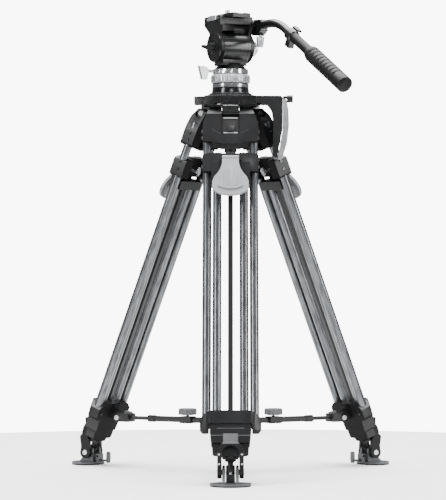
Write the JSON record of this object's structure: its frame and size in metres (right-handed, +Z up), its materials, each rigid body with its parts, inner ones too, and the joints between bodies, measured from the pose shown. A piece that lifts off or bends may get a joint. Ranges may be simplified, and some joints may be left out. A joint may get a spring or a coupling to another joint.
{
  "type": "video tripod with fluid head",
  "caption": "Three-legged video tripod with twin-tube telescoping legs, mid-level spreader, levelling bowl, fluid head and pan bar.",
  "frame": {"origin": "on the floor under the middle of the stand's bounding box", "axes": "+Z up, the front leg points to -Y, the pan axis is parallel to Z a little behind the origin"},
  "size_m": [0.6562, 0.5788, 0.9227],
  "materials": {
    "cast": "fine matt black coat",
    "carbon": "lacquered carbon weave",
    "rubber": "matt rubber",
    "pedal": "moulded grey",
    "silver": "satin",
    "steel": "turned",
    "foot": "grey anodised",
    "plastic": "moulded black"
  },
  "bodies": {
    "shoulder": {"shoulder": "cast", "carry_handle": "plastic"},
    "front_leg": {"front_knuckle": "cast", "front_upper_tubes": "carbon", "front_pedal_bracket": "cast", "front_upper_collar": "cast"},
    "front_latch": {"front_angle_latch": "cast"},
    "front_pedal": {"front_pedal": "pedal"},
    "front_middle": {"front_middle_tubes": "carbon", "front_lower_collar": "cast"},
    "front_lower": {"front_foot_casting": "cast", "front_foot_yoke": "rubber"},
    "front_plate": {"front_foot_plate": "foot"},
    "front_lever": {"front_foot_lever": "foot"},
    "front_rod": {"front_spreader_rod": "plastic"},
    "front_knob": {"front_spreader_knob": "plastic"},
    "right_leg": {"right_knuckle": "cast", "right_upper_tubes": "carbon", "right_pedal_bracket": "cast", "right_upper_collar": "cast"},
    "right_latch": {"right_angle_latch": "cast"},
    "right_pedal": {"right_pedal": "pedal"},
    "right_middle": {"right_middle_tubes": "carbon", "right_lower_collar": "cast"},
    "right_lower": {"right_foot_casting": "cast", "right_foot_yoke": "rubber"},
    "right_plate": {"right_foot_plate": "foot"},
    "right_lever": {"right_foot_lever": "foot"},
    "right_rod": {"right_spreader_rod": "plastic"},
    "right_knob": {"right_spreader_knob": "plastic"},
    "left_leg": {"left_knuckle": "cast", "left_upper_tubes": "carbon", "left_pedal_bracket": "cast", "left_upper_collar": "cast"},
    "left_latch": {"left_angle_latch": "cast"},
    "left_pedal": {"left_pedal": "pedal"},
    "left_middle": {"left_middle_tubes": "carbon", "left_lower_collar": "cast"},
    "left_lower": {"left_foot_casting": "cast", "left_foot_yoke": "rubber"},
    "left_plate": {"left_foot_plate": "foot"},
    "left_lever": {"left_foot_lever": "foot"},
    "left_rod": {"left_spreader_rod": "plastic"},
    "left_knob": {"left_spreader_knob": "plastic"},
    "clamp_washer": {"clamp_washer": "steel"},
    "level_ball": {"level_ball": "cast"},
    "tie_down_knob": {"tie_down_knob": "plastic"},
    "drag_ring": {"pan_drag_ring": "silver"},
    "head": {"pan_base": "steel", "drum": "cast"},
    "pan_lock": {"pan_lock_lever": "silver"},
    "drag_dial": {"tilt_drag_dial": "silver"},
    "platform": {"tilt_platform": "cast"},
    "tilt_lock": {"tilt_lock_lever": "plastic"},
    "camera_plate": {"camera_plate": "cast"},
    "plate_lever": {"plate_lock_lever": "silver"},
    "pan_bar": {"pan_bar": "cast"},
    "clamp_knob": {"clamp_knob": "silver"},
    "grip": {"grip": "rubber"},
    "spreader_hub": {"spreader_hub": "plastic"}
  },
  "joints": [
    {"name": "pan", "type": "hinge", "parent": "level_ball", "child": "head", "pos_m": [0, 0.08346, 0.79293], "axis": [0, 0, 1], "continuous": true},
    {"name": "tilt", "type": "hinge", "parent": "head", "child": "platform", "pos_m": [0, 0.08346, 0.84693], "axis": [0.866, 0.5, 0], "range_deg": [-60, 45]},
    {"name": "plate_slide", "type": "slide", "parent": "platform", "child": "camera_plate", "axis": [-0.5, 0.866, 0], "range_m": [-0.03, 0.03]},
    {"name": "pan_bar_angle", "type": "hinge", "parent": "platform", "child": "pan_bar", "pos_m": [0.04381, 0.09258, 0.89193], "axis": [0.866, 0.5, 0], "range_deg": [-50, 0]},
    {"name": "grip_slide", "type": "slide", "parent": "pan_bar", "child": "grip", "axis": [0.4352, -0.7538, -0.4924], "range_m": [-0.018, 0.07]},
    {"name": "front_leg_spread", "type": "hinge", "parent": "shoulder", "child": "front_leg", "pos_m": [0, 0.03786, 0.71493], "axis": [-1, 0, 0], "range_deg": [-3.5, 6]},
    {"name": "right_leg_spread", "type": "hinge", "parent": "shoulder", "child": "right_leg", "pos_m": [0.03949, 0.10626, 0.71493], "axis": [0.5, -0.866, 0], "range_deg": [-3.5, 6]},
    {"name": "left_leg_spread", "type": "hinge", "parent": "shoulder", "child": "left_leg", "pos_m": [-0.03949, 0.10626, 0.71493], "axis": [0.5, 0.866, 0], "range_deg": [-3.5, 6]},
    {"name": "front_upper_stage", "type": "slide", "parent": "front_leg", "child": "front_middle", "axis": [0, -0.3762, -0.9265], "range_m": [0, 0.42]},
    {"name": "front_lower_stage", "type": "slide", "parent": "front_middle", "child": "front_lower", "axis": [0, -0.3762, -0.9265], "range_m": [0, 0.4]},
    {"name": "right_upper_stage", "type": "slide", "parent": "right_leg", "child": "right_middle", "axis": [0.3258, 0.1881, -0.9265], "range_m": [0, 0.42]},
    {"name": "right_lower_stage", "type": "slide", "parent": "right_middle", "child": "right_lower", "axis": [0.3258, 0.1881, -0.9265], "range_m": [0, 0.4]},
    {"name": "left_upper_stage", "type": "slide", "parent": "left_leg", "child": "left_middle", "axis": [-0.3258, 0.1881, -0.9265], "range_m": [0, 0.42]},
    {"name": "left_lower_stage", "type": "slide", "parent": "left_middle", "child": "left_lower", "axis": [-0.3258, 0.1881, -0.9265], "range_m": [0, 0.4]},
    {"name": "front_foot_tilt", "type": "hinge", "parent": "front_lower", "child": "front_plate", "pos_m": [0, -0.24837, 0.026], "axis": [-1, 0, 0], "range_deg": [-30, 30]},
    {"name": "front_foot_lever_turn", "type": "hinge", "parent": "front_plate", "child": "front_lever", "pos_m": [0, -0.22037, 0.009], "axis": [0, -1, 0], "range_deg": [0, 90]},
    {"name": "front_pedal_press", "type": "hinge", "parent": "front_leg", "child": "front_pedal", "pos_m": [0, -0.0237, 0.62231], "axis": [1, 0, 0], "range_deg": [0, 6], "stiffness_Nm_per_rad": 2, "springref_deg": -8.59},
    {"name": "front_latch_pull", "type": "slide", "parent": "front_leg", "child": "front_latch", "axis": [0, -0.9265, 0.3762], "range_m": [0, 0.004], "stiffness_N_per_m": 300, "springref_m": -0.002},
    {"name": "right_foot_tilt", "type": "hinge", "parent": "right_lower", "child": "right_plate", "pos_m": [0.28737, 0.24937, 0.026], "axis": [0.5, -0.866, 0], "range_deg": [-30, 30]},
    {"name": "right_foot_lever_turn", "type": "hinge", "parent": "right_plate", "child": "right_lever", "pos_m": [0.26312, 0.23537, 0.009], "axis": [0.866, 0.5, 0], "range_deg": [0, 90]},
    {"name": "right_pedal_press", "type": "hinge", "parent": "right_leg", "child": "right_pedal", "pos_m": [0.0928, 0.13704, 0.62231], "axis": [-0.5, 0.866, 0], "range_deg": [0, 6], "stiffness_Nm_per_rad": 2, "springref_deg": -8.59},
    {"name": "right_latch_pull", "type": "slide", "parent": "right_leg", "child": "right_latch", "axis": [0.8024, 0.4633, 0.3762], "range_m": [0, 0.004], "stiffness_N_per_m": 300, "springref_m": -0.002},
    {"name": "left_foot_tilt", "type": "hinge", "parent": "left_lower", "child": "left_plate", "pos_m": [-0.28737, 0.24937, 0.026], "axis": [0.5, 0.866, 0], "range_deg": [-30, 30]},
    {"name": "left_foot_lever_turn", "type": "hinge", "parent": "left_plate", "child": "left_lever", "pos_m": [-0.26312, 0.23537, 0.009], "axis": [-0.866, 0.5, 0], "range_deg": [0, 90]},
    {"name": "left_pedal_press", "type": "hinge", "parent": "left_leg", "child": "left_pedal", "pos_m": [-0.0928, 0.13704, 0.62231], "axis": [-0.5, -0.866, 0], "range_deg": [0, 6], "stiffness_Nm_per_rad": 2, "springref_deg": -8.59},
    {"name": "left_latch_pull", "type": "slide", "parent": "left_leg", "child": "left_latch", "axis": [-0.8024, 0.4633, 0.3762], "range_m": [0, 0.004], "stiffness_N_per_m": 300, "springref_m": -0.002},
    {"name": "spreader_lift", "type": "slide", "parent": "shoulder", "child": "spreader_hub", "axis": [0, 0, 1], "range_m": [-0.0137, 0.0235]},
    {"name": "front_rod_slide", "type": "slide", "parent": "spreader_hub", "child": "front_rod", "axis": [0, -1, 0], "range_m": [-0.0386, 0.066]},
    {"name": "front_knob_turn", "type": "hinge", "parent": "spreader_hub", "child": "front_knob", "pos_m": [0, -0.01654, 0.09935], "axis": [0, 0, 1], "continuous": true},
    {"name": "right_rod_slide", "type": "slide", "parent": "spreader_hub", "child": "right_rod", "axis": [0.866, 0.5, 0], "range_m": [-0.0386, 0.066]},
    {"name": "right_knob_turn", "type": "hinge", "parent": "spreader_hub", "child": "right_knob", "pos_m": [0.0866, 0.13346, 0.09935], "axis": [0, 0, 1], "continuous": true},
    {"name": "left_rod_slide", "type": "slide", "parent": "spreader_hub", "child": "left_rod", "axis": [-0.866, 0.5, 0], "range_m": [-0.0386, 0.066]},
    {"name": "left_knob_turn", "type": "hinge", "parent": "spreader_hub", "child": "left_knob", "pos_m": [-0.0866, 0.13346, 0.09935], "axis": [0, 0, 1], "continuous": true},
    {"name": "level_roll", "type": "hinge", "parent": "shoulder", "child": "clamp_washer", "pos_m": [0, 0.08346, 0.75493], "axis": [0, 1, 0], "range_deg": [-8, 8]},
    {"name": "level_pitch", "type": "hinge", "parent": "clamp_washer", "child": "level_ball", "pos_m": [0, 0.08346, 0.75493], "axis": [1, 0, 0], "range_deg": [-8, 8]},
    {"name": "tie_down_turn", "type": "hinge", "parent": "level_ball", "child": "tie_down_knob", "pos_m": [0, 0.08346, 0.65893], "axis": [0, 0, 1], "continuous": true},
    {"name": "drag_ring_turn", "type": "hinge", "parent": "level_ball", "child": "drag_ring", "pos_m": [0, 0.08346, 0.77493], "axis": [0, 0, 1], "range_deg": [-90, 90]},
    {"name": "pan_lock_turn", "type": "hinge", "parent": "head", "child": "pan_lock", "pos_m": [-0.03507, 0.06321, 0.79793], "axis": [0.866, 0.5, 0], "range_deg": [-60, 60]},
    {"name": "drag_dial_turn", "type": "hinge", "parent": "head", "child": "drag_dial", "pos_m": [0.0394, 0.10621, 0.84693], "axis": [0.866, 0.5, 0], "continuous": true},
    {"name": "tilt_lock_turn", "type": "hinge", "parent": "platform", "child": "tilt_lock", "pos_m": [-0.03681, 0.06221, 0.84693], "axis": [0.866, 0.5, 0], "range_deg": [-45, 45]},
    {"name": "plate_lever_turn", "type": "hinge", "parent": "platform", "child": "plate_lever", "pos_m": [-0.02907, 0.05281, 0.90393], "axis": [0.866, 0.5, 0], "range_deg": [-60, 0]},
    {"name": "clamp_knob_turn", "type": "hinge", "parent": "pan_bar", "child": "clamp_knob", "pos_m": [0.05943, 0.08313, 0.86193], "axis": [0, 0, 1], "continuous": true}
  ],
  "couplings": [
    {"joint": "right_leg_spread", "follows": "front_leg_spread", "ratio": 1},
    {"joint": "left_leg_spread", "follows": "front_leg_spread", "ratio": 1},
    {"joint": "spreader_lift", "follows": "front_leg_spread", "m_per_rad": 0.21435},
    {"joint": "front_rod_slide", "follows": "front_leg_spread", "m_per_rad": 0.61559},
    {"joint": "right_rod_slide", "follows": "front_leg_spread", "m_per_rad": 0.61559},
    {"joint": "left_rod_slide", "follows": "front_leg_spread", "m_per_rad": 0.61559}
  ]
}
